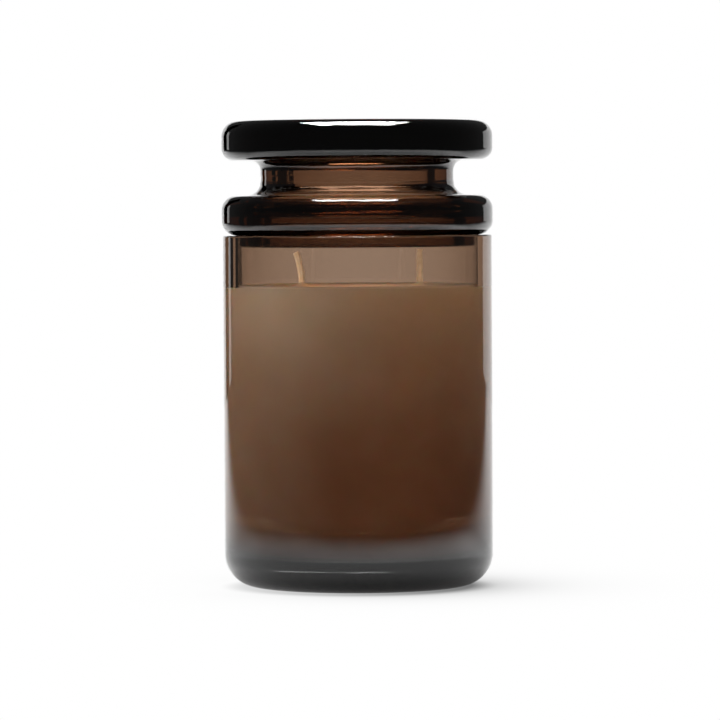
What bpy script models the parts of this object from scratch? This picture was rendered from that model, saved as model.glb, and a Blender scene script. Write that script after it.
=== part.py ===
"""A two-wick candle: tinted glass jar, spool-shaped glass lid, wax, wicks and their metal clips.

Metres, +Z up. The origin is the centre of the jar's base, on the table. The wicks lie in the XZ plane.
Every glass part is a turned shape, so it is drawn as one half profile and spun round the Z axis.
"""

import math

import bmesh
import bpy
from mathutils import Vector

MM = 0.001

# Driving dimensions
JAR_RADIUS = 50.0 * MM
JAR_HEIGHT = 130.2 * MM
WALL = 5.5 * MM
FLOOR_THICKNESS = 11.0 * MM  # the thick glass foot under the wax
LID_RADIUS = 50.4 * MM
NECK_RADIUS = 35.9 * MM
PLUG_DEPTH = 4.3 * MM
WAX_LEVEL = 111.6 * MM
WICK_RADIUS = 1.15 * MM
WICK_SPACING = 44.0 * MM
TOUCH_GAP = 0.3 * MM  # between pieces that touch on the real candle
SEGMENTS = 60  # sides of every large turned part

# Jar
HEEL_RADIUS = 12.0 * MM
CONTACT_WIDTH = 3.5 * MM  # the flat ring that stands on the table
PUNT_DEPTH = 1.2 * MM  # how far the underside is pushed up inside that ring
RIM_ROUND = 0.8 * MM
INNER_FILLET = 16.0 * MM
BORE_RADIUS = JAR_RADIUS - WALL

# Lid, from its lower disc up
LID_SEAT = JAR_HEIGHT + TOUCH_GAP
PLUG_CLEARANCE = 0.5 * MM
PLUG_EDGE = 0.8 * MM
LOWER_DISC_THICKNESS = 14.7 * MM
GROOVE_HEIGHT = 13.1 * MM  # the finger gap between the two discs
UPPER_DISC_THICKNESS = 14.6 * MM
LOWER_DISC_EDGE = 5.1 * MM
UPPER_DISC_EDGE = 5.7 * MM
LOWER_DISC_FOOT = 5.4 * MM
UPPER_DISC_FOOT = 4.6 * MM
NECK_FILLET_LOW = 5.5 * MM
NECK_FILLET_HIGH = 3.9 * MM
HOLLOW_MOUTH_RADIUS = 36.5 * MM
HOLLOW_NECK_RADIUS = 26.5 * MM
HOLLOW_DEPTH = 30.0 * MM  # from the lid's seat up to the roof, which lies just inside the upper disc
FLARE_FOOT = 6.0 * MM  # where the hollow starts to narrow, above the seat
FLARE_TOP = 19.0 * MM  # where it has reached the neck's radius
HOLLOW_ROOF_ROUND = 3.0 * MM

# Wax, wicks and clips
MENISCUS_HEIGHT = 0.5 * MM
MENISCUS_WIDTH = 3.0 * MM
CLIP_RADIUS = 7.5 * MM
CLIP_THICKNESS = 0.5 * MM
CLIP_COLLAR_HEIGHT = 6.0 * MM
CLIP_COLLAR_WALL = 0.5 * MM
PAD_RADIUS = 6.5 * MM
PAD_THICKNESS = 0.8 * MM
SMALL_SEGMENTS = 32
WICK_SIDES = 12

COLOURS = {  # base colour, roughness, metallic value
    "tinted_glass": ((0.20, 0.12, 0.08), 0.05, 0.0),
    "wax": ((0.86, 0.78, 0.64), 0.55, 0.0),
    "wick_cotton": ((0.84, 0.74, 0.58), 0.9, 0.0),
    "tinned_steel": ((0.66, 0.66, 0.65), 0.3, 1.0),
    "adhesive_foam": ((0.90, 0.89, 0.86), 0.8, 0.0),
}


def clear_scene():
    for obj in list(bpy.data.objects):
        bpy.data.objects.remove(obj)


def material(name):
    found = bpy.data.materials.get(name)
    if found:
        return found
    colour, roughness, metallic = COLOURS[name]
    made = bpy.data.materials.new(name)
    made.use_nodes = True
    shader = made.node_tree.nodes["Principled BSDF"]
    shader.inputs["Base Color"].default_value = (*colour, 1.0)
    shader.inputs["Roughness"].default_value = roughness
    shader.inputs["Metallic"].default_value = metallic
    if name == "tinted_glass":
        shader.inputs["Transmission Weight"].default_value = 1.0
    return made


def place(name, mesh_builder, material_name, smooth_angle=35.0):
    """Turns a finished bmesh into a named object."""
    mesh = bpy.data.meshes.new(name)
    mesh_builder.to_mesh(mesh)
    mesh_builder.free()
    mesh.shade_smooth()
    mesh.set_sharp_from_angle(angle=math.radians(smooth_angle))
    obj = bpy.data.objects.new(name, mesh)
    bpy.context.scene.collection.objects.link(obj)
    obj.data.materials.append(material(material_name))
    return obj


def arc(centre, radii, start, end, steps):
    """Points (r, z) on an ellipse round centre, from the angle start to end in degrees."""
    across, up = radii if isinstance(radii, tuple) else (radii, radii)
    points = []
    for i in range(steps + 1):
        angle = math.radians(start + (end - start) * i / steps)
        points.append((centre[0] + across * math.cos(angle), centre[1] + up * math.sin(angle)))
    return points


def ease(start, end, steps):
    """Points (r, z) from start to end that leave and arrive straight up, as an S."""
    points = []
    for i in range(steps + 1):
        t = i / steps
        share = t * t * (3 - 2 * t)
        points.append((start[0] + (end[0] - start[0]) * share, start[1] + (end[1] - start[1]) * t))
    return points


def turned(profile, segments, closed=False):
    """Spins a half profile round Z. An open profile starts and ends on the axis; a closed one is a ring."""
    shape = bmesh.new()
    corners = [shape.verts.new((r, 0.0, z)) for r, z in profile]
    pairs = list(zip(corners, corners[1:]))
    if closed:
        pairs.append((corners[-1], corners[0]))
    edges = [shape.edges.new(pair) for pair in pairs]
    bmesh.ops.spin(
        shape,
        geom=corners + edges,
        cent=(0, 0, 0),
        axis=(0, 0, 1),
        angle=math.tau,
        steps=segments,
        use_duplicate=False,
    )
    bmesh.ops.remove_doubles(shape, verts=shape.verts, dist=0.001 * MM)
    bmesh.ops.recalc_face_normals(shape, faces=shape.faces)
    return shape


def jar_profile():
    """From the middle of the underside out, up the wall, over the rim and down the inside."""
    contact_out = JAR_RADIUS - HEEL_RADIUS
    contact_in = contact_out - CONTACT_WIDTH
    punt = [(contact_in * k / 4, PUNT_DEPTH * (1 - (k / 4) ** 2)) for k in range(5)]
    heel = arc((contact_out, HEEL_RADIUS), HEEL_RADIUS, -90, 0, 8)
    shoulder = JAR_HEIGHT - RIM_ROUND
    rim_out = arc((JAR_RADIUS - RIM_ROUND, shoulder), RIM_ROUND, 0, 90, 2)
    rim_in = arc((BORE_RADIUS + RIM_ROUND, shoulder), RIM_ROUND, 90, 180, 2)
    bowl = arc(
        (BORE_RADIUS - INNER_FILLET, FLOOR_THICKNESS + INNER_FILLET), INNER_FILLET, 0, -90, 6
    )
    return punt + heel + rim_out + rim_in + bowl + [(0.0, FLOOR_THICKNESS)]


def lid_profile():
    """From the middle of the top out, down the two discs and the plug, and up the hollow."""
    disc_top = LID_SEAT + LOWER_DISC_THICKNESS
    upper_foot = disc_top + GROOVE_HEIGHT
    top = upper_foot + UPPER_DISC_THICKNESS
    plug_radius = BORE_RADIUS - PLUG_CLEARANCE
    plug_foot = LID_SEAT - PLUG_DEPTH
    roof = LID_SEAT + HOLLOW_DEPTH

    upper_edge = arc((LID_RADIUS - UPPER_DISC_EDGE, top - UPPER_DISC_EDGE), UPPER_DISC_EDGE, 90, 0, 5)
    upper_under = arc(
        (LID_RADIUS - UPPER_DISC_FOOT, upper_foot + UPPER_DISC_FOOT), UPPER_DISC_FOOT, 0, -90, 5
    )
    neck_high = arc(
        (NECK_RADIUS + NECK_FILLET_HIGH, upper_foot - NECK_FILLET_HIGH), NECK_FILLET_HIGH, 90, 180, 3
    )
    neck_low = arc(
        (NECK_RADIUS + NECK_FILLET_LOW, disc_top + NECK_FILLET_LOW), NECK_FILLET_LOW, 180, 270, 3
    )
    lower_edge = arc((LID_RADIUS - LOWER_DISC_EDGE, disc_top - LOWER_DISC_EDGE), LOWER_DISC_EDGE, 90, 0, 5)
    lower_foot = arc(
        (LID_RADIUS - LOWER_DISC_FOOT, LID_SEAT + LOWER_DISC_FOOT), LOWER_DISC_FOOT, 0, -90, 5
    )
    plug = [(plug_radius, LID_SEAT)]
    plug += arc((plug_radius - PLUG_EDGE, plug_foot + PLUG_EDGE), PLUG_EDGE, 0, -90, 2)
    plug += arc(
        (HOLLOW_MOUTH_RADIUS + PLUG_EDGE, plug_foot + PLUG_EDGE), PLUG_EDGE, -90, -180, 2
    )
    hollow = ease(
        (HOLLOW_MOUTH_RADIUS, LID_SEAT + FLARE_FOOT), (HOLLOW_NECK_RADIUS, LID_SEAT + FLARE_TOP), 5
    )
    hollow += arc(
        (HOLLOW_NECK_RADIUS - HOLLOW_ROOF_ROUND, roof - HOLLOW_ROOF_ROUND), HOLLOW_ROOF_ROUND, 0, 90, 3
    )
    outside = upper_edge + upper_under + neck_high + neck_low + lower_edge + lower_foot
    return [(0.0, top)] + outside + plug + hollow + [(0.0, roof)]


def wax_profile():
    """The wax fills the bowl, a hair clear of the glass, and climbs a little where it meets the wall."""
    radius = BORE_RADIUS - TOUCH_GAP
    floor = FLOOR_THICKNESS + TOUCH_GAP
    fillet = INNER_FILLET - TOUCH_GAP
    bowl = arc((radius - fillet, floor + fillet), fillet, -90, 0, 6)
    meniscus = []
    for k in range(4):
        share = k / 3
        meniscus.append(
            (radius - MENISCUS_WIDTH * share, WAX_LEVEL + MENISCUS_HEIGHT * (1 - share) ** 2)
        )
    return [(0.0, floor)] + bowl + meniscus + [(0.0, WAX_LEVEL)]


def pad_floor():
    return FLOOR_THICKNESS + TOUCH_GAP


def clip_floor():
    return pad_floor() + PAD_THICKNESS + TOUCH_GAP


def pad_profile():
    floor = pad_floor()
    top = floor + PAD_THICKNESS
    return [(0.0, floor), (PAD_RADIUS, floor), (PAD_RADIUS, top), (0.0, top)]


def clip_profile():
    """A flat tin disc whose middle is drawn up into a collar that grips the wick."""
    floor = clip_floor()
    deck = floor + CLIP_THICKNESS
    top = floor + CLIP_COLLAR_HEIGHT
    bore = WICK_RADIUS + TOUCH_GAP
    collar = bore + CLIP_COLLAR_WALL
    return [
        (bore, floor),
        (CLIP_RADIUS, floor),
        (CLIP_RADIUS, deck),
        (collar + CLIP_THICKNESS, deck),
        (collar, deck + CLIP_THICKNESS),
        (collar, top),
        (bore, top),
    ]


def pocket_profile():
    """The room that the wax leaves for a pad and its clip, from under the wax up."""
    below = FLOOR_THICKNESS - TOUCH_GAP
    deck = clip_floor() + CLIP_THICKNESS + TOUCH_GAP
    collar = WICK_RADIUS + CLIP_COLLAR_WALL + 2 * TOUCH_GAP
    top = clip_floor() + CLIP_COLLAR_HEIGHT + TOUCH_GAP
    outer = CLIP_RADIUS + TOUCH_GAP
    return [
        (0.0, below),
        (outer, below),
        (outer, deck),
        (collar + CLIP_THICKNESS, deck),
        (collar, deck + CLIP_THICKNESS),
        (collar, top),
        (0.0, top),
    ]


def wick_path(foot_x, surface_x, tip, steps=10):
    """The wick's centre line: straight up the wax, then on a quadratic curve to its tip."""
    foot = Vector((foot_x, 0.0, clip_floor()))
    collar = Vector((foot_x, 0.0, clip_floor() + CLIP_COLLAR_HEIGHT))
    surface = Vector((surface_x, 0.0, WAX_LEVEL))
    lean = (surface - collar).normalized()
    free = Vector(tip) - surface
    bend = surface + lean * (free.length / 2)
    points = [foot, collar]
    for i in range(steps + 1):
        t = i / steps
        points.append(surface * (1 - t) ** 2 + bend * 2 * t * (1 - t) + Vector(tip) * t * t)
    return points


def tube(path, radius, sides=WICK_SIDES):
    """A closed round tube along a path in the XZ plane."""
    shape = bmesh.new()
    rings = []
    for i, point in enumerate(path):
        before = path[max(i - 1, 0)]
        after = path[min(i + 1, len(path) - 1)]
        along = (after - before).normalized()
        across = Vector((0, 1, 0)).cross(along)
        ring = []
        for k in range(sides):
            angle = math.tau * k / sides
            offset = across * math.cos(angle) + Vector((0, 1, 0)) * math.sin(angle)
            ring.append(shape.verts.new(point + offset * radius))
        rings.append(ring)
    for low, high in zip(rings, rings[1:]):
        for k in range(sides):
            shape.faces.new((low[k], low[(k + 1) % sides], high[(k + 1) % sides], high[k]))
    shape.faces.new(rings[0])
    shape.faces.new(rings[-1])
    bmesh.ops.recalc_face_normals(shape, faces=shape.faces)
    return shape


def cut(target, cutter):
    """Takes a helper's shape out of target. The helper isn't part of the candle."""
    cutter.hide_render = True
    cutter.display_type = "WIRE"
    boolean = target.modifiers.new(cutter.name, "BOOLEAN")
    boolean.operation = "DIFFERENCE"
    boolean.solver = "EXACT"
    boolean.object = cutter


def make_wick(side, foot_x, surface_x, tip, wax):
    """One wick with its clip and pad, and the room that the wax leaves for them."""
    path = wick_path(foot_x, surface_x, tip)
    place(f"wick_{side}", tube(path, WICK_RADIUS), "wick_cotton", 50)
    clip = place(f"wick_clip_{side}", turned(clip_profile(), SMALL_SEGMENTS, closed=True), "tinned_steel")
    pad = place(f"clip_pad_{side}", turned(pad_profile(), SMALL_SEGMENTS), "adhesive_foam")
    pocket = place(f"pocket_{side}", turned(pocket_profile(), SMALL_SEGMENTS), "wax")
    channel = place(f"channel_{side}", tube(path[1:], WICK_RADIUS + TOUCH_GAP), "wax")
    for obj in (clip, pad, pocket):
        obj.location.x = foot_x
    cut(wax, pocket)
    cut(wax, channel)


def main():
    clear_scene()
    place("jar", turned(jar_profile(), SEGMENTS), "tinted_glass")
    place("lid", turned(lid_profile(), SEGMENTS), "tinted_glass")
    wax = place("wax", turned(wax_profile(), SEGMENTS), "wax")
    half = WICK_SPACING / 2
    left_tip = (-half - 1.4 * MM, 0.0, 123.6 * MM)
    right_tip = (half + 1.2 * MM, 0.0, 125.0 * MM)
    make_wick("left", -half, -half + 1.3 * MM, left_tip, wax)
    make_wick("right", half, half + 1.1 * MM, right_tip, wax)


main()
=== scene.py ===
"""Looks of the lidded jar candle: clear brown glass, ivory wax, braided wicks, tin clips and foam pads.

Metres, +Z up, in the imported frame. The glass, the wax and the clips are turned shapes: one half profile
of points (radius, height), spun round an axis. Each visible piece stands for the CAD node of its name.
"""

import math

import bmesh
import bpy
from mathutils import Matrix, Vector, noise


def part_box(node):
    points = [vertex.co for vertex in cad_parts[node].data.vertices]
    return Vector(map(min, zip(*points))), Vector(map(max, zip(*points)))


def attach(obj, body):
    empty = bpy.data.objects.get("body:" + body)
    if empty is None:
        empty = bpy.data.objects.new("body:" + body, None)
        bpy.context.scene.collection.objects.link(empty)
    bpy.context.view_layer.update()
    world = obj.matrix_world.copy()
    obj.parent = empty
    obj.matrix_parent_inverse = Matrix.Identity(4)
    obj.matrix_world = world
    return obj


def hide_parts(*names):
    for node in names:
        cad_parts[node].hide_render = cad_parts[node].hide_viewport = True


MM = 0.001

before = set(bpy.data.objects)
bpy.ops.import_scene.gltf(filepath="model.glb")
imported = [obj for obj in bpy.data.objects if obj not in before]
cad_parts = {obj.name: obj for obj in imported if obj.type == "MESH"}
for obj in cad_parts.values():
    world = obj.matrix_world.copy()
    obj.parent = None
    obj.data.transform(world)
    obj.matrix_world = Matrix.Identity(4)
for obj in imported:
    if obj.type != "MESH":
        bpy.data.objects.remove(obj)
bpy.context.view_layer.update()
jar_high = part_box("jar")[1]
lid_low, lid_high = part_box("lid")
wax_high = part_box("wax")[1]

# Glass, from the frame
JAR_RADIUS = jar_high.x
LID_RADIUS = lid_high.x
LID_TOP = lid_high.z
PLUG_DEPTH = 4.3 * MM
LID_SEAT = lid_low.z + PLUG_DEPTH
SEAT_GAP = 0.02 * MM  # hairline between the lid and the rim
JAR_HEIGHT = LID_SEAT - SEAT_GAP
BORE_RADIUS = 44.5 * MM
FLOOR_THICKNESS = 11.0 * MM
HEEL_RADIUS = 12.0 * MM
CONTACT_WIDTH = 3.5 * MM
PUNT_DEPTH = 1.2 * MM
INNER_FILLET = 16.0 * MM
RIM_ROUND = 0.7 * MM
WALL_WAVE = 0.04 * MM  # how far the glass strays from a true turned shape
GLASS_IOR = 1.5
GLASS_TINT = (0.50, 0.322, 0.16, 1.0)
TINT_DENSITY = 218.0  # per metre of glass

# Lid
PLUG_RADIUS = 44.0 * MM
PLUG_EDGE = 0.8 * MM
LOWER_DISC_THICKNESS = 14.7 * MM
UPPER_DISC_THICKNESS = 14.6 * MM
LOWER_DISC_EDGE = 5.1 * MM
UPPER_DISC_EDGE = 5.7 * MM
LOWER_DISC_FOOT = 5.4 * MM
UPPER_DISC_FOOT = 4.6 * MM
NECK_RADIUS = 35.9 * MM
NECK_FILLET_LOW = 5.5 * MM
NECK_FILLET_HIGH = 3.9 * MM
HOLLOW_MOUTH_RADIUS = 36.5 * MM
HOLLOW_NECK_RADIUS = 26.5 * MM
HOLLOW_DEPTH = 30.0 * MM
FLARE_FOOT = 6.0 * MM
FLARE_TOP = 19.0 * MM
HOLLOW_ROOF_ROUND = 3.0 * MM
PRESS_RINGS = 0.15 * MM  # height of the faint rings that pressing leaves in the hollow

# Wax
WAX_LEVEL = wax_high.z - 0.5 * MM
WAX_INSET = 0.1 * MM
FILM_OVERLAP = 0.1 * MM  # the clear film reaches this far into the glass
FILM_DEPTH = 0.6 * MM  # and this far into the wax
MENISCUS_HEIGHT = 0.5 * MM
MENISCUS_WIDTH = 3.0 * MM
SURFACE_SWELL = 0.12 * MM  # broad and fine unevenness of the open surface
SURFACE_GRAIN = 0.03 * MM

# Wicks
WICK_HALF_WIDTH = 1.2 * MM
WICK_HALF_THICKNESS = 0.75 * MM
BRAID_PITCH = 1.25 * MM
BRAID_COLUMNS = 8
BRAID_RELIEF = 0.13 * MM
WICK_SIDES = 48
SURFACE_BAND = 1.6 * MM  # the CAD wick's corners this near the wax surface say where it leaves the wax
TIP_BAND = 0.7 * MM  # and these say where its tip is
ROOT_RISE = 1.7 * MM  # the wax draws up round each wick
ROOT_WIDTH = 1.9 * MM
MOAT_DEPTH = 0.25 * MM  # and sinks in a ring outside that
MOAT_RADIUS = 5.5 * MM
MOAT_WIDTH = 3.0 * MM

SEGMENTS = 256
SMALL_SEGMENTS = 64

# Camera
CAMERA_PLACE = (0.75 * MM, -1.75, 0.145)
CAMERA_PITCH = 2.0  # degrees below level
CAMERA_ROLL = 0.3  # degrees
CAMERA_LENS = 235.0  # millimetres, as Blender counts them
CAMERA_SENSOR = 36.0

# Room, cards and softbox. The camera sees a white room, and the glass a dim one.
ROOM_RADIANCE = 0.06
BACKDROP_Y = 1.5
BACKDROP_X = (-1.3, 1.5)
BACKDROP_HEIGHT = 0.5
BACKDROP_RADIANCE = 1.02
CARD_Y = 1.45  # a black card in front of the backdrop darkens the glass near its left edge
CARD_X = (-1.05, -0.66)
CARD_HEIGHT = 1.0
SOFTBOX_X = (-0.40, 0.36)  # above the lid: the white lines on the edges of its discs
SOFTBOX_Y = (-0.32, 0.32)
SOFTBOX_Z = 1.17
SOFTBOX_RADIANCE = 45.0

# The table, as the camera sees it: white paper with a soft shadow
FLOOR_REACH = 1.5
FLOOR_DROP = -0.4 * MM
SHADOW_DEPTH = 0.18
SHADOW_LEAN = 0.9  # how much deeper it is to the right than in front
SHADOW_FADE = 17.0 * MM
SHADOW_LIMIT = 1.6  # times the depth, under the heel
HEEL_SHADOW = (0.041, 0.053)  # the shade under the heel fades out over this distance from the axis
HEEL_SHADOW_DEPTH = 0.26

# The table, as the glass mirrors and bends it: a pool of light, with a bright ring and a thin arc
POOL_FRONT = (-0.33, -0.18)  # y where the pool starts and where it is full
POOL_RADIANCE = 1.15
POOL_TO_WAX = 0.12  # its radiance as a source for the wax
POOL_HALF_WIDTH = 0.28  # at y = 0
POOL_SPREAD = (0.36, 0.59)  # how fast the pool widens to the left and right with y
POOL_SOFT = 0.15
POOL_HIDDEN = (-0.06, -0.03)  # y up to which rays that have been inside the glass don't see it
RING_NEAR = (0.12, 0.27)  # the ring brightens and fades over these distances from the axis
RING_FAR = (0.27, 0.38)
RING_BACK = (0.0, 0.15)  # y over which it ends
RING_RADIANCE = 1.05
RING_TURN = (-0.6, 0.7)  # from the left to the right, as x over the distance from the axis
RING_BALANCE = (0.8, 1.35)  # how bright it is at the one and at the other
CONTACT_SHADOW = (0.042, 0.062)  # over this distance from the axis the pool comes up to full light
CONTACT_LIGHT = 0.4  # from this share of it
GLINT_RADIUS = 60.5 * MM  # the arc, that the heel mirrors
GLINT_WIDTH = 0.4 * MM
GLINT_RADIANCE = 15.0
GLINT_LEFT = (-0.050, -0.038)  # x over which it starts and ends
GLINT_RIGHT = (0.0, 0.040)

# Lamps that light only the wicks or the wax, not the glass
LAMP_DISTANCE = 1.4
LAMP_SIZE = 0.02
DAYLIGHT = (0.52, 0.80, 1.0)
NEUTRAL = (1.0, 0.90, 0.94)
WARM = (0.95, 1.0, 0.87)
CREAM = (1.0, 0.93, 0.82)
PALE_CREAM = (1.0, 0.96, 0.88)
AMBER = (1.0, 0.90, 0.83)  # light that has come through the thin glass of the wall
RUSSET = (1.0, 0.33, 0.12)  # and light that has come through wax too
# Name, degrees to the right of the front, height, aim, reach at the aim, watts, colour
WICK_LAMPS = (
    ("wick_left", -55.0, 0.40, (-0.022, 0.0, 0.118), 0.036, 98.0, CREAM),
    ("wick_right", 55.0, 0.40, (0.022, 0.0, 0.118), 0.036, 43.0, PALE_CREAM),
)
WAX_LAMPS = (
    ("key", -62.0, 0.50, (-0.025, -0.035, 0.118), 0.050, 20.0, DAYLIGHT),
    ("side", -97.0, 0.30, (0.0, 0.0, 0.090), 0.120, 19.0, NEUTRAL),
    ("top_left", -45.0, 0.35, (0.0, 0.0, 0.125), 0.045, 13.6, WARM),
    ("top_right", 45.0, 0.35, (0.0, 0.0, 0.125), 0.045, 11.6, WARM),
    ("broad_left", -45.0, 0.35, (0.0, 0.0, 0.125), 0.095, 8.6, AMBER),
    ("broad_right", 45.0, 0.35, (0.0, 0.0, 0.125), 0.095, 10.2, AMBER),
    ("low_left", -45.0, 0.20, (0.0, 0.0, 0.075), 0.150, 3.6, RUSSET),
    ("low_right", 45.0, 0.20, (0.0, 0.0, 0.075), 0.150, 5.4, RUSSET),
    ("foot", 0.0, -0.60, (0.0, 0.0, 0.022), 0.060, 3.0, AMBER),
    ("back_left", -135.0, 0.35, (0.0, 0.0, 0.125), 0.125, 15.0, AMBER),
    ("back_right", 135.0, 0.35, (0.0, 0.0, 0.125), 0.125, 15.0, AMBER),
)


# ---------------------------------------------------------------- mesh helpers


def arc(centre, radii, start, end, steps):
    """Points (r, z) on an ellipse round centre, from the angle start to end in degrees."""
    across, up = radii if isinstance(radii, tuple) else (radii, radii)
    points = []
    for i in range(steps + 1):
        angle = math.radians(start + (end - start) * i / steps)
        points.append((centre[0] + across * math.cos(angle), centre[1] + up * math.sin(angle)))
    return points


def ease(start, end, steps):
    """Points (r, z) from start to end that leave and arrive straight up, as an S."""
    points = []
    for i in range(steps + 1):
        t = i / steps
        share = t * t * (3 - 2 * t)
        points.append((start[0] + (end[0] - start[0]) * share, start[1] + (end[1] - start[1]) * t))
    return points


def even(profile, step, edge=0.12 * MM):
    """Splits long stretches, with a close point at each end so that shading stays true there."""
    points = [profile[0]]
    for (r0, z0), (r1, z1) in zip(profile, profile[1:]):
        length = math.hypot(r1 - r0, z1 - z0)
        if length > 1.5 * step:
            count = math.ceil(length / step)
            shares = [edge / length, *(i / count for i in range(1, count)), 1 - edge / length]
            points += [(r0 + (r1 - r0) * t, z0 + (z1 - z0) * t) for t in shares]
        points.append((r1, z1))
    return points


def new_object(name, mesh, material):
    obj = bpy.data.objects.new(name, mesh)
    bpy.context.scene.collection.objects.link(obj)
    mesh.materials.append(material)
    return obj


def turned(name, profile, material, segments=SEGMENTS, closed=False, shift=None, centre=(0.0, 0.0)):
    """Spins a half profile. shift(r, z, angle) gives a small (dr, dz) that makes the surface uneven."""
    verts = []
    rings = []
    for r, z in profile:
        if r < 0.001 * MM:
            rings.append([len(verts)])
            verts.append((centre[0], centre[1], z))
            continue
        rings.append(range(len(verts), len(verts) + segments))
        for k in range(segments):
            angle = math.tau * k / segments
            dr, dz = shift(r, z, angle) if shift else (0.0, 0.0)
            x = centre[0] + (r + dr) * math.cos(angle)
            y = centre[1] + (r + dr) * math.sin(angle)
            verts.append((x, y, z + dz))
    pairs = list(zip(rings, rings[1:]))
    if closed:
        pairs.append((rings[-1], rings[0]))
    faces = []
    for low, high in pairs:
        for k in range(segments):
            j = (k + 1) % segments
            if len(low) == 1:
                faces.append((low[0], high[j], high[k]))
            elif len(high) == 1:
                faces.append((low[k], low[j], high[0]))
            else:
                faces.append((low[k], low[j], high[j], high[k]))
    mesh = bpy.data.meshes.new(name)
    mesh.from_pydata(verts, [], faces)
    face_outward(mesh)
    mesh.shade_smooth()
    return new_object(name, mesh, material)


def face_outward(mesh):
    shape = bmesh.new()
    shape.from_mesh(mesh)
    bmesh.ops.recalc_face_normals(shape, faces=shape.faces)
    shape.to_mesh(mesh)
    shape.free()


def show(piece, node, body):
    """The piece stands for one CAD node and moves with its body."""
    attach(piece, body)
    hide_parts(node)


# ---------------------------------------------------------------- materials


class Nodes:
    """A material's node tree, with short calls for the nodes that the materials here share."""

    def __init__(self, name):
        self.material = bpy.data.materials.new(name)
        self.material.use_nodes = True
        self.tree = self.material.node_tree
        self.shader = self.tree.nodes["Principled BSDF"]
        self.output = self.tree.nodes["Material Output"]

    def add(self, kind, **values):
        node = self.tree.nodes.new(kind)
        for key, value in values.items():
            if key in node.inputs:
                node.inputs[key].default_value = value
            else:
                setattr(node, key, value)
        return node

    def link(self, source, target):
        self.tree.links.new(source, target)

    def place(self, scale=(1.0, 1.0, 1.0)):
        """Object coordinates, stretched by scale."""
        coords = self.add("ShaderNodeTexCoord")
        mapping = self.add("ShaderNodeMapping", Scale=scale)
        self.link(coords.outputs["Object"], mapping.inputs["Vector"])
        return mapping.outputs["Vector"]

    def noise(self, scale, detail=3.0, roughness=0.5, where=None):
        node = self.add("ShaderNodeTexNoise", Scale=scale, Detail=detail, Roughness=roughness)
        self.link(where or self.place(), node.inputs["Vector"])
        return node.outputs["Fac"]

    def remap(self, value, low, high, to_low, to_high, smooth=False):
        node = self.add("ShaderNodeMapRange", interpolation_type="SMOOTHSTEP" if smooth else "LINEAR")
        node.inputs["From Min"].default_value = low
        node.inputs["From Max"].default_value = high
        node.inputs["To Min"].default_value = to_low
        node.inputs["To Max"].default_value = to_high
        self.link(value, node.inputs["Value"])
        return node.outputs["Result"]

    def fade(self, value, span, before, after):
        """Eases from before to after while value goes through span."""
        return self.remap(value, *span, before, after, smooth=True)

    def ramp(self, value, *stops):
        node = self.add("ShaderNodeValToRGB")
        elements = node.color_ramp.elements
        while len(elements) < len(stops):
            elements.new(0.5)
        for element, (position, colour) in zip(elements, stops):
            element.position = position
            element.color = (*colour, 1.0)
        self.link(value, node.inputs["Fac"])
        return node.outputs["Color"]

    def maths(self, operation, *values):
        node = self.add("ShaderNodeMath", operation=operation)
        for socket, value in zip(node.inputs, values):
            if isinstance(value, (int, float)):
                socket.default_value = value
            else:
                self.link(value, socket)
        return node.outputs["Value"]

    def product(self, first, *others):
        for other in others:
            first = self.maths("MULTIPLY", first, other)
        return first

    def bump(self, height, distance, strength=1.0, under=None):
        node = self.add("ShaderNodeBump", Strength=strength, Distance=distance)
        self.link(height, node.inputs["Height"])
        if under:
            self.link(under, node.inputs["Normal"])
        return node.outputs["Normal"]

    def glow(self, strength):
        """Makes it a plain lamp surface, in place of the shader."""
        self.tree.nodes.remove(self.shader)
        light = self.add("ShaderNodeEmission")
        if isinstance(strength, float):
            light.inputs["Strength"].default_value = strength
        else:
            self.link(strength, light.inputs["Strength"])
        self.link(light.outputs["Emission"], self.output.inputs["Surface"])

    def set(self, name, value):
        """A plain value goes on the shader's own socket; anything else is linked to it."""
        if isinstance(value, (int, float, tuple)):
            self.shader.inputs[name].default_value = value
        else:
            self.link(value, self.shader.inputs[name])


def glass_material():
    """Clear brown glass: the tint is in its depth, so thick stretches go nearly black."""
    n = Nodes("tinted_glass")
    n.set("Base Color", (1.0, 1.0, 1.0, 1.0))
    n.set("Transmission Weight", 1.0)
    n.set("IOR", GLASS_IOR)
    smudges = n.noise(38.0, detail=5.0, roughness=0.62)
    n.set("Roughness", n.remap(smudges, 0.5, 0.75, 0.0, 0.025))
    skin = n.noise(90.0, detail=1.0)
    n.set("Normal", n.bump(skin, 0.02 * MM, 0.5))
    tint = n.add("ShaderNodeVolumeAbsorption", Color=GLASS_TINT, Density=TINT_DENSITY)
    n.link(tint.outputs["Volume"], n.output.inputs["Volume"])
    return n.material


def film_material():
    """Clear and without a tint of its own."""
    n = Nodes("wax_film")
    n.set("Base Color", (1.0, 1.0, 1.0, 1.0))
    n.set("Transmission Weight", 1.0)
    n.set("IOR", GLASS_IOR)
    n.set("Roughness", n.remap(n.noise(60.0), 0.5, 0.75, 0.0, 0.02))
    return n.material


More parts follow.
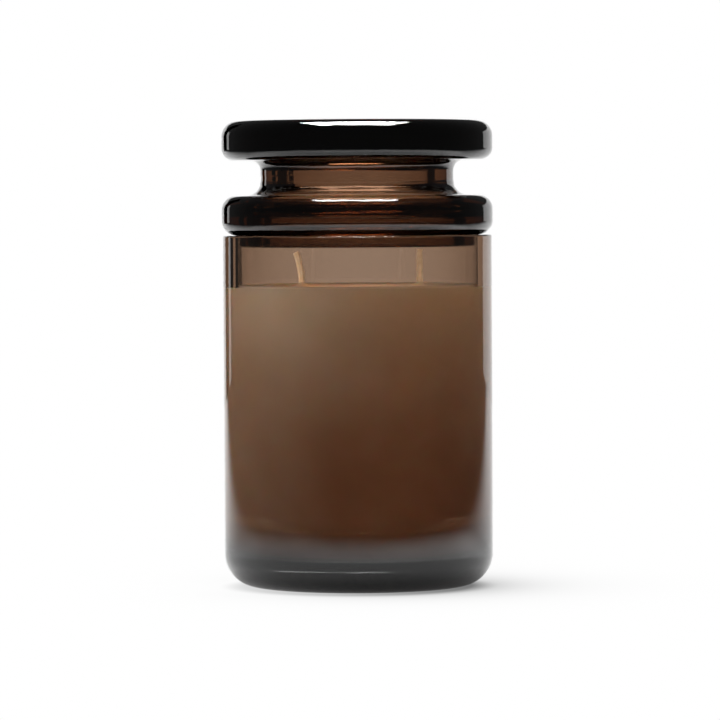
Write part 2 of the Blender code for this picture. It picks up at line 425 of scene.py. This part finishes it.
def wax_material():
    """Ivory wax, a little translucent, with the faint mottling and bloom of a natural wax."""
    n = Nodes("wax")
    mottle = n.noise(55.0, detail=6.0, roughness=0.6)
    bloom = n.noise(420.0, detail=3.0, roughness=0.7)
    mixed = n.maths("ADD", n.maths("MULTIPLY", mottle, 0.75), n.maths("MULTIPLY", bloom, 0.25))
    ivories = ((0.35, (0.84, 0.72, 0.55)), (0.52, (0.90, 0.78, 0.61)), (0.7, (0.94, 0.84, 0.70)))
    n.set("Base Color", n.ramp(mixed, *ivories))
    n.set("Roughness", n.remap(bloom, 0.3, 0.7, 0.42, 0.62))
    n.set("IOR", 1.43)
    n.set("Specular IOR Level", 0.06)
    n.set("Subsurface Weight", 1.0)
    n.set("Subsurface Radius", (1.0, 0.72, 0.45))
    n.set("Subsurface Scale", 6.0 * MM)
    pores = n.noise(1500.0, detail=2.0)
    waves = n.noise(120.0, detail=3.0)
    n.set("Normal", n.bump(pores, 0.03 * MM, 0.4, under=n.bump(waves, 0.25 * MM, 0.5)))
    return n.material


def cotton_material():
    """Waxed cotton yarn: fine fibres along the strands, slightly uneven in colour."""
    n = Nodes("wick_cotton")
    fibres = n.noise(5200.0, detail=4.0, roughness=0.65, where=n.place((1.0, 1.0, 0.25)))
    patches = n.noise(600.0, detail=3.0)
    mixed = n.maths("ADD", n.maths("MULTIPLY", fibres, 0.5), n.maths("MULTIPLY", patches, 0.5))
    creams = ((0.3, (0.62, 0.52, 0.38)), (0.5, (0.84, 0.77, 0.64)), (0.7, (0.93, 0.89, 0.80)))
    n.set("Base Color", n.ramp(mixed, *creams))
    n.set("Roughness", n.remap(patches, 0.3, 0.7, 0.62, 0.95))
    n.set("Sheen Weight", 0.35)
    n.set("Sheen Roughness", 0.5)
    n.set("Subsurface Weight", 0.3)
    n.set("Subsurface Radius", (1.0, 0.8, 0.6))
    n.set("Subsurface Scale", 0.5 * MM)
    n.set("Normal", n.bump(fibres, 0.08 * MM, 0.8))
    return n.material


def tin_material():
    """Bright tin plate: fine rolling lines, small dull patches."""
    n = Nodes("tinned_steel")
    lines = n.noise(260.0, detail=4.0, roughness=0.7, where=n.place((1.0, 22.0, 1.0)))
    patches = n.noise(350.0, detail=4.0)
    n.set("Metallic", 1.0)
    n.set("Base Color", n.ramp(patches, (0.3, (0.56, 0.56, 0.56)), (0.7, (0.74, 0.74, 0.73))))
    n.set("Roughness", n.remap(lines, 0.3, 0.7, 0.2, 0.42))
    n.set("Normal", n.bump(lines, 0.01 * MM, 0.6))
    return n.material


def foam_material():
    """White foam pad: small open cells."""
    n = Nodes("adhesive_foam")
    cells = n.add("ShaderNodeTexVoronoi", Scale=2600.0)
    n.link(n.place(), cells.inputs["Vector"])
    tone = n.noise(500.0, detail=3.0)
    n.set("Base Color", n.ramp(tone, (0.3, (0.82, 0.80, 0.75)), (0.7, (0.92, 0.91, 0.88))))
    n.set("Roughness", n.remap(cells.outputs["Distance"], 0.0, 0.6, 0.95, 0.7))
    n.set("Normal", n.bump(cells.outputs["Distance"], 0.12 * MM, 0.7))
    return n.material


# ---------------------------------------------------------------- glass


def drift(angle, z, turns, rise, seed):
    """Slow noise that runs round the axis and up it, without a seam."""
    place = Vector((turns * math.cos(angle), turns * math.sin(angle), z * rise + seed))
    return noise.noise(place)


def jar_profile():
    """From the middle of the underside out, up the wall, over the rim and down the inside."""
    contact_out = JAR_RADIUS - HEEL_RADIUS
    contact_in = contact_out - CONTACT_WIDTH
    punt = [(contact_in * k / 16, PUNT_DEPTH * (1 - (k / 16) ** 2)) for k in range(17)]
    shoulder = JAR_HEIGHT - RIM_ROUND
    bowl_centre = (BORE_RADIUS - INNER_FILLET, FLOOR_THICKNESS + INNER_FILLET)
    heel = arc((contact_out, HEEL_RADIUS), HEEL_RADIUS, -90, 0, 40)
    rim_out = arc((JAR_RADIUS - RIM_ROUND, shoulder), RIM_ROUND, 0, 90, 10)
    rim_in = arc((BORE_RADIUS + RIM_ROUND, shoulder), RIM_ROUND, 90, 180, 10)
    bowl = arc(bowl_centre, INNER_FILLET, 0, -90, 40)
    return even(punt + heel + rim_out + rim_in + bowl + [(0.0, FLOOR_THICKNESS)], 2.0 * MM)


def jar_unevenness(r, z, angle):
    """The outside is slightly wavy. The bore stays true, because the wax lies against it."""
    if r < BORE_RADIUS + 2.0 * MM or z > JAR_HEIGHT - 2.0 * MM or z < 1.0 * MM:
        return 0.0, 0.0
    return WALL_WAVE * drift(angle, z, 1.6, 28.0, 3.0), 0.0


def make_jar(material):
    jar = turned("jar_glass", jar_profile(), material, shift=jar_unevenness)
    show(jar, "jar", "jar")


def lid_profile():
    """From the middle of the top out, down the two discs and the plug, and up the hollow."""
    disc_top = LID_SEAT + LOWER_DISC_THICKNESS
    upper_foot = LID_TOP - UPPER_DISC_THICKNESS
    plug_foot = LID_SEAT - PLUG_DEPTH
    roof = LID_SEAT + HOLLOW_DEPTH
    high, low, edge = NECK_FILLET_HIGH, NECK_FILLET_LOW, PLUG_EDGE
    top_round, top_foot = UPPER_DISC_EDGE, UPPER_DISC_FOOT
    low_round, low_foot = LOWER_DISC_EDGE, LOWER_DISC_FOOT
    outside = arc((LID_RADIUS - top_round, LID_TOP - top_round), top_round, 90, 0, 20)
    outside += arc((LID_RADIUS - top_foot, upper_foot + top_foot), top_foot, 0, -90, 22)
    outside += arc((NECK_RADIUS + high, upper_foot - high), high, 90, 180, 14)
    outside += arc((NECK_RADIUS + low, disc_top + low), low, 180, 270, 16)
    outside += arc((LID_RADIUS - low_round, disc_top - low_round), low_round, 90, 0, 20)
    outside += arc((LID_RADIUS - low_foot, LID_SEAT + low_foot), low_foot, 0, -90, 20)
    plug = [(PLUG_RADIUS, LID_SEAT)]
    plug += arc((PLUG_RADIUS - edge, plug_foot + edge), edge, 0, -90, 10)
    plug += arc((HOLLOW_MOUTH_RADIUS + edge, plug_foot + edge), edge, -90, -180, 10)
    flare_foot = (HOLLOW_MOUTH_RADIUS, LID_SEAT + FLARE_FOOT)
    hollow = ease(flare_foot, (HOLLOW_NECK_RADIUS, LID_SEAT + FLARE_TOP), 28)
    roof_centre = (HOLLOW_NECK_RADIUS - HOLLOW_ROOF_ROUND, roof - HOLLOW_ROOF_ROUND)
    hollow += arc(roof_centre, HOLLOW_ROOF_ROUND, 0, 90, 16)
    return even([(0.0, LID_TOP)] + outside + plug + hollow + [(0.0, roof)], 0.7 * MM)


def lid_unevenness(r, z, angle):
    """Pressing leaves faint rings inside the hollow, and the outside is a little wavy."""
    roof = LID_SEAT + HOLLOW_DEPTH
    in_hollow = r < HOLLOW_MOUTH_RADIUS + 0.6 * MM and LID_SEAT + 0.5 * MM < z < roof - 1.0 * MM
    if in_hollow and r > 10.0 * MM:
        broad = drift(angle, z, 0.6, 550.0, 10.0)
        fine = drift(angle, z, 1.1, 1300.0, 60.0)
        return PRESS_RINGS * (broad + 0.45 * fine), 0.0
    if r > NECK_RADIUS - 1.0 * MM and LID_SEAT + 1.0 * MM < z < LID_TOP - 0.5 * MM:
        return WALL_WAVE * drift(angle, z, 1.4, 60.0, 21.0), 0.0
    return 0.0, 0.0


def make_lid(material):
    lid = turned("lid_glass", lid_profile(), material, shift=lid_unevenness)
    show(lid, "lid", "lid")


# ---------------------------------------------------------------- wax


def wick_ends(side):
    """Where one wick's CAD solid leaves the wax and where its tip is, both in the XZ plane."""
    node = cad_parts[f"wick_{side}"]
    points = [v.co for v in node.data.vertices]
    top = max(p.z for p in points)
    near_surface = [p.x for p in points if abs(p.z - WAX_LEVEL) < SURFACE_BAND]
    near_tip = [p.x for p in points if p.z > top - TIP_BAND]
    surface_x = sum(near_surface) / len(near_surface)
    tip_x = sum(near_tip) / len(near_tip)
    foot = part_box(f"wick_clip_{side}")
    foot_x = (foot[0].x + foot[1].x) / 2
    return foot_x, surface_x, (tip_x, top)


def bowl_profile(inset):
    """The inside of the jar below the wax level, moved inwards by inset, from the axis out and up."""
    radius = BORE_RADIUS - inset
    floor = FLOOR_THICKNESS + inset
    fillet = INNER_FILLET - inset
    return [(0.0, floor)] + arc((radius - fillet, floor + fillet), fillet, -90, 0, 40)


def wax_profile():
    """The wax fills the bowl and climbs a little where it meets the wall."""
    radius = BORE_RADIUS - WAX_INSET
    meniscus = []
    for k in range(13):
        share = k / 12
        rise = MENISCUS_HEIGHT * (1 - share) ** 2
        meniscus.append((radius - MENISCUS_WIDTH * share, WAX_LEVEL + rise))
    return even(bowl_profile(WAX_INSET) + meniscus + [(0.0, WAX_LEVEL)], 0.8 * MM)


def make_film(material):
    """Wax that wets glass leaves no air between them, so the surface of the glass can't be seen
    there. This clear film reaches into both and carries light across without a reflection."""
    top = WAX_LEVEL - 0.3 * MM
    outer = bowl_profile(-FILM_OVERLAP)
    inner = bowl_profile(FILM_DEPTH)
    profile = outer + [(BORE_RADIUS + FILM_OVERLAP, top), (BORE_RADIUS - FILM_DEPTH, top)] + inner[::-1]
    film = turned("wax_film", even(profile, 2.0 * MM), material)
    show(film, "wax", "jar")


def make_wax(material, roots):
    """roots are the places where the wicks leave the wax, which draws up round each."""

    def shift(r, z, angle):
        if z < WAX_LEVEL - 0.2 * MM:
            return 0.0, 0.0
        x, y = r * math.cos(angle), r * math.sin(angle)
        calm = min(1.0, (BORE_RADIUS - r) / (6.0 * MM))
        rise = SURFACE_SWELL * calm * noise.noise(Vector((x * 55.0, y * 55.0, 4.0)))
        rise += SURFACE_GRAIN * calm * noise.noise(Vector((x * 320.0, y * 320.0, 9.0)))
        for root in roots:
            away = math.hypot(x - root, y)
            rise += ROOT_RISE * math.exp(-((away / ROOT_WIDTH) ** 2))
            rise -= MOAT_DEPTH * math.exp(-(((away - MOAT_RADIUS) / MOAT_WIDTH) ** 2))
        return 0.0, rise

    wax = turned("wax_fill", wax_profile(), material, shift=shift)
    show(wax, "wax", "jar")
    return wax


# ---------------------------------------------------------------- wicks, clips and pads


def wick_line(foot_x, surface_x, tip, foot_z):
    """Centre line, with close points where the wick is in the open and wide ones inside the wax."""
    foot = Vector((foot_x, 0.0, foot_z))
    surface = Vector((surface_x, 0.0, WAX_LEVEL))
    end = Vector((tip[0], 0.0, tip[1]))
    lean = (surface - foot).normalized()
    bend = surface + lean * ((end - surface).length / 2)
    buried = 90
    free = 120
    points = [foot.lerp(surface, i / buried) for i in range(buried)]
    for i in range(free + 1):
        t = i / free
        points.append(surface * (1 - t) ** 2 + bend * 2 * t * (1 - t) + end * t * t)
    return points


def braid_height(around, along):
    """0 to 1: columns of slanting strands that mirror each other, as in a flat braid."""
    column = around * BRAID_COLUMNS
    across = column - math.floor(column)
    slant = 1 if int(column) % 2 == 0 else -1
    phase = along / BRAID_PITCH + slant * (across - 0.5) * 0.9
    strand = abs(math.cos(math.pi * phase)) ** 0.7
    return strand * (1 - abs(2 * across - 1) ** 3)


def make_wick(side, material):
    foot_x, surface_x, tip = wick_ends(side)
    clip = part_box(f"wick_clip_{side}")
    line = wick_line(foot_x, surface_x, tip, clip[0].z)
    shape = bmesh.new()
    rings = []
    along = 0.0
    for i, point in enumerate(line):
        before = line[max(i - 1, 0)]
        after = line[min(i + 1, len(line) - 1)]
        if i:
            along += (point - before).length
        forward = (after - before).normalized()
        across = Vector((0, 1, 0)).cross(forward)
        ring = []
        for k in range(WICK_SIDES):
            angle = math.tau * k / WICK_SIDES
            relief = BRAID_RELIEF * (braid_height(k / WICK_SIDES, along) - 0.5)
            wobble = 1 + 0.05 * noise.noise(point * 700.0)
            c, s = math.cos(angle), math.sin(angle)
            flat_x = math.copysign(abs(c) ** 0.85, c) * (WICK_HALF_WIDTH * wobble + relief)
            flat_y = math.copysign(abs(s) ** 0.85, s) * (WICK_HALF_THICKNESS * wobble + relief)
            ring.append(shape.verts.new(point + across * flat_x + Vector((0, 1, 0)) * flat_y))
        rings.append(ring)
    for low, high in zip(rings, rings[1:]):
        for k in range(WICK_SIDES):
            j = (k + 1) % WICK_SIDES
            shape.faces.new((low[k], low[j], high[j], high[k]))
    cap_ring(shape, rings[0], line[0])
    cap_ring(shape, rings[-1], line[-1] + (line[-1] - line[-2]).normalized() * 0.15 * MM)
    bmesh.ops.recalc_face_normals(shape, faces=shape.faces)
    mesh = bpy.data.meshes.new(f"wick_{side}_braid")
    shape.to_mesh(mesh)
    shape.free()
    mesh.shade_smooth()
    wick = new_object(f"wick_{side}_braid", mesh, material)
    show(wick, f"wick_{side}", "jar")
    return wick, surface_x


def cap_ring(shape, ring, middle):
    centre = shape.verts.new(middle)
    for k in range(len(ring)):
        shape.faces.new((ring[k], ring[(k + 1) % len(ring)], centre))


def make_clip(side, material):
    """A pressed tin disc with a turned-down lip and a stepped collar, pinched flat onto the wick."""
    low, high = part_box(f"wick_clip_{side}")
    centre = ((low.x + high.x) / 2, 0.0)
    radius = (high.x - low.x) / 2
    floor, top = low.z, high.z
    sheet = 0.35 * MM
    bore = WICK_HALF_WIDTH + 0.25 * MM
    collar = bore + sheet
    outer = [(radius, floor)]
    outer += arc((radius - sheet, floor + sheet), sheet, 0, 90, 6)
    outer += arc((collar + 3.0 * MM, floor + 2 * sheet), sheet, -90, -180, 5)
    outer += arc((collar + 0.8 * MM, floor + 2 * sheet + 0.8 * MM), 0.8 * MM, -90, -180, 8)
    outer += arc((collar - sheet / 2, top - sheet / 2), sheet / 2, 0, 180, 8)
    inner = [(bore, floor + 1.6 * MM)]
    inner += arc((bore + 1.2 * MM, floor + 0.4 * MM), 0.4 * MM, 180, 270, 5)

    def pinch(r, z, angle):
        if z < floor + 2.2 * MM:
            return 0.0, 0.0
        share = min(1.0, (z - floor - 2.2 * MM) / (1.5 * MM))
        squeeze = WICK_HALF_WIDTH - WICK_HALF_THICKNESS
        return -squeeze * share * math.sin(angle) ** 2, 0.0

    profile = even(outer + inner, 0.5 * MM, 0.06 * MM)
    name = f"wick_clip_{side}_tin"
    clip = turned(name, profile, material, SMALL_SEGMENTS, closed=True, shift=pinch, centre=centre)
    show(clip, f"wick_clip_{side}", "jar")
    return clip


def make_pad(side, material):
    """The pad sits on the glass floor, under its clip."""
    low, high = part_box(f"clip_pad_{side}")
    centre = ((low.x + high.x) / 2, 0.0)
    radius = (high.x - low.x) / 2
    floor = FLOOR_THICKNESS + 0.5 * WAX_INSET
    top = high.z + 0.28 * MM
    bulge = (top - floor) / 2
    edge = arc((radius - 0.3 * MM, floor + bulge), (0.3 * MM, bulge), -90, 90, 12)
    profile = even([(0.0, floor)] + edge + [(0.0, top)], 0.5 * MM, 0.05 * MM)

    def ragged(r, z, angle):
        return 0.08 * MM * (r / radius) * drift(angle, z, 3.0, 200.0, 5.0), 0.0

    pad = turned(f"clip_pad_{side}_foam", profile, material, SMALL_SEGMENTS, shift=ragged, centre=centre)
    show(pad, f"clip_pad_{side}", "jar")
    return pad


# ---------------------------------------------------------------- studio


def stage_quad(name, corners, material, seen_by_camera=False):
    mesh = bpy.data.meshes.new(name)
    mesh.from_pydata(corners, [], [(0, 1, 2, 3)])
    quad = new_object(name, mesh, material)
    quad.visible_camera = seen_by_camera
    return quad


def glow_material(name, strength):
    n = Nodes(name)
    n.glow(strength)
    return n.material


def floor_shade(n, x, away):
    """How much of its light the paper keeps near the jar and under its heel."""
    near = n.maths("EXPONENT", n.maths("DIVIDE", n.maths("SUBTRACT", away, JAR_RADIUS), -SHADOW_FADE))
    near = n.maths("MINIMUM", near, SHADOW_LIMIT)
    to_right = n.maths("DIVIDE", x, away)
    depth = n.maths("MULTIPLY_ADD", to_right, SHADOW_DEPTH * SHADOW_LEAN, SHADOW_DEPTH)
    lit = n.maths("SUBTRACT", 1.0, n.product(near, depth))
    return n.maths("SUBTRACT", lit, n.fade(away, HEEL_SHADOW, HEEL_SHADOW_DEPTH, 0.0))


def floor_pool(n, x, y, to_wax):
    """A soft-edged pool that widens towards the back."""
    radiance = n.maths("MULTIPLY_ADD", to_wax, POOL_TO_WAX - POOL_RADIANCE, POOL_RADIANCE)
    left_edge = n.maths("MULTIPLY_ADD", y, -POOL_SPREAD[0], -POOL_HALF_WIDTH)
    right_edge = n.maths("MULTIPLY_ADD", y, POOL_SPREAD[1], POOL_HALF_WIDTH)
    edge = (-POOL_SOFT, POOL_SOFT)
    left = n.fade(n.maths("SUBTRACT", x, left_edge), edge, 0.0, 1.0)
    right = n.fade(n.maths("SUBTRACT", right_edge, x), edge, 0.0, 1.0)
    return n.product(n.fade(y, POOL_FRONT, 0.0, 1.0), radiance, left, right)


def floor_ring(n, x, y, away):
    """A broad bright ring round the front half of the jar, brighter to the right."""
    ring = n.product(n.fade(away, RING_NEAR, 0.0, RING_RADIANCE), n.fade(away, RING_FAR, 1.0, 0.0))
    balance = n.remap(n.maths("DIVIDE", x, away), *RING_TURN, *RING_BALANCE)
    return n.product(ring, n.fade(y, RING_BACK, 1.0, 0.0), balance)


def floor_glint(n, x, away):
    """A thin arc of light, brighter in some places than in others."""
    off = n.maths("DIVIDE", n.maths("SUBTRACT", away, GLINT_RADIUS), GLINT_WIDTH)
    line = n.maths("EXPONENT", n.product(off, off, -1.0))
    patches = n.remap(n.noise(30.0, detail=2.0), 0.35, 0.6, 0.2 * GLINT_RADIANCE, GLINT_RADIANCE)
    return n.product(line, patches, n.fade(x, GLINT_LEFT, 0.0, 1.0), n.fade(x, GLINT_RIGHT, 1.0, 0.0))


def floor_material():
    """White paper with soft shade at the jar's foot. The glass sees the paper only as a pool of
    light round the object, as it does on a small table in a dark studio. The wax gets little of
    it, and rays that have been inside the glass get none from the front."""
    n = Nodes("floor_paper")
    coords = n.add("ShaderNodeSeparateXYZ")
    n.link(n.place(), coords.inputs["Vector"])
    x, y = coords.outputs["X"], coords.outputs["Y"]
    away = n.maths("SQRT", n.maths("ADD", n.product(x, x), n.product(y, y)))
    path = n.add("ShaderNodeLightPath")
    to_wax = n.maths("GREATER_THAN", path.outputs["Diffuse Depth"], 0.5)
    not_to_wax = n.maths("SUBTRACT", 1.0, to_wax)
    inside = n.maths("GREATER_THAN", path.outputs["Transmission Depth"], 0.5)
    shown = n.maths("SUBTRACT", 1.0, n.product(inside, n.fade(y, POOL_HIDDEN, 1.0, 0.0)))
    lit = floor_shade(n, x, away)
    pool = n.product(floor_pool(n, x, y, to_wax), shown, lit)
    ring = n.product(floor_ring(n, x, y, away), shown, not_to_wax)
    light = n.product(n.maths("ADD", pool, ring), n.fade(away, CONTACT_SHADOW, CONTACT_LIGHT, 1.0))
    light = n.maths("ADD", light, n.product(floor_glint(n, x, away), not_to_wax))
    light = n.maths("MAXIMUM", light, ROOM_RADIANCE)
    strength = n.add("ShaderNodeMix", data_type="FLOAT")
    n.link(path.outputs["Is Camera Ray"], strength.inputs["Factor"])
    n.link(light, strength.inputs["A"])
    n.link(lit, strength.inputs["B"])
    n.glow(strength.outputs["Result"])
    return n.material


def make_floor():
    near, far = -FLOOR_REACH, BACKDROP_Y
    corners = [(-FLOOR_REACH, near, FLOOR_DROP), (FLOOR_REACH, near, FLOOR_DROP)]
    corners += [(FLOOR_REACH, far, FLOOR_DROP), (-FLOOR_REACH, far, FLOOR_DROP)]
    stage_quad("floor", corners, floor_material(), seen_by_camera=True)


def make_world():
    """A white room to the camera, and a dim one to the glass."""
    world = bpy.data.worlds.new("room")
    bpy.context.scene.world = world
    world.use_nodes = True
    tree = world.node_tree
    dim = tree.nodes["Background"]
    dim.inputs["Color"].default_value = (ROOM_RADIANCE, ROOM_RADIANCE, ROOM_RADIANCE, 1.0)
    white = tree.nodes.new("ShaderNodeBackground")
    white.inputs["Color"].default_value = (1.0, 1.0, 1.0, 1.0)
    path = tree.nodes.new("ShaderNodeLightPath")
    mix = tree.nodes.new("ShaderNodeMixShader")
    tree.links.new(path.outputs["Is Camera Ray"], mix.inputs["Fac"])
    tree.links.new(dim.outputs["Background"], mix.inputs[1])
    tree.links.new(white.outputs["Background"], mix.inputs[2])
    tree.links.new(mix.outputs["Shader"], tree.nodes["World Output"].inputs["Surface"])


def upright(x_range, y, height):
    """Corners of a card that stands on the floor, square to the view."""
    left, right = x_range
    return [(left, y, 0.0), (right, y, 0.0), (right, y, height), (left, y, height)]


def make_cards():
    """The glowing backdrop, the black card and the softbox. Only the glass and the wax see them."""
    backdrop = upright(BACKDROP_X, BACKDROP_Y, BACKDROP_HEIGHT)
    stage_quad("backdrop", backdrop, glow_material("backdrop_paper", BACKDROP_RADIANCE))
    card = upright(CARD_X, CARD_Y, CARD_HEIGHT)
    stage_quad("black_card", card, glow_material("black_card", 0.0))
    (x0, x1), (y0, y1) = SOFTBOX_X, SOFTBOX_Y
    softbox = [(x, y, SOFTBOX_Z) for x, y in ((x0, y0), (x1, y0), (x1, y1), (x0, y1))]
    stage_quad("softbox", softbox, glow_material("softbox_cloth", SOFTBOX_RADIANCE))


def make_spot(name, bearing, height, aim, reach, watts, colour, pieces):
    """A spot that fades out at its reach from the aim and lights only these pieces. The glass
    doesn't block it, so its colour is that of light that has come through the wall."""
    turn = math.radians(bearing)
    aim = Vector(aim)
    place = Vector((LAMP_DISTANCE * math.sin(turn), -LAMP_DISTANCE * math.cos(turn), height))
    lamp = bpy.data.lights.new(name, "SPOT")
    lamp.energy = watts
    lamp.color = colour
    lamp.spot_size = 2 * math.atan(reach / (aim - place).length)
    lamp.spot_blend = 1.0
    lamp.shadow_soft_size = LAMP_SIZE
    obj = bpy.data.objects.new(name, lamp)
    bpy.context.scene.collection.objects.link(obj)
    facing = (aim - place).to_track_quat("-Z", "Y").to_matrix().to_4x4()
    obj.matrix_world = Matrix.Translation(place) @ facing
    obj.visible_glossy = False
    obj.visible_transmission = False
    obj.light_linking.receiver_collection = pieces
    obj.light_linking.blocker_collection = pieces


def make_spots(wax_and_foot, wicks):
    """The wicks have lamps of their own, because they stand clear of the wax."""
    for kind, lamps, pieces in (("wicks", WICK_LAMPS, wicks), ("wax", WAX_LAMPS, wax_and_foot)):
        lit = bpy.data.collections.new(f"lit_{kind}")
        for piece in pieces:
            lit.objects.link(piece)
        for name, bearing, height, aim, reach, watts, colour in lamps:
            make_spot(f"wax_{name}", bearing, height, aim, reach, watts, colour, lit)


def make_camera():
    camera = bpy.data.cameras.new("camera")
    camera.lens = CAMERA_LENS
    camera.sensor_width = CAMERA_SENSOR
    obj = bpy.data.objects.new("camera", camera)
    bpy.context.scene.collection.objects.link(obj)
    tilt = Matrix.Rotation(math.radians(90.0 - CAMERA_PITCH), 4, "X")
    roll = Matrix.Rotation(math.radians(-CAMERA_ROLL), 4, "Z")
    obj.matrix_world = Matrix.Translation(CAMERA_PLACE) @ tilt @ roll
    bpy.context.scene.camera = obj


# ---------------------------------------------------------------- run


def main():
    scene = bpy.context.scene
    scene.view_settings.view_transform = "Standard"
    glass = glass_material()
    cotton = cotton_material()
    tin = tin_material()
    foam = foam_material()
    make_jar(glass)
    make_lid(glass)
    wicks = [make_wick(side, cotton) for side in ("left", "right")]
    wax_and_foot = [make_wax(wax_material(), [root for wick, root in wicks])]
    make_film(film_material())
    for side in ("left", "right"):
        wax_and_foot.append(make_clip(side, tin))
        wax_and_foot.append(make_pad(side, foam))
    make_floor()
    make_world()
    make_cards()
    make_spots(wax_and_foot, [wick for wick, root in wicks])
    make_camera()


main()
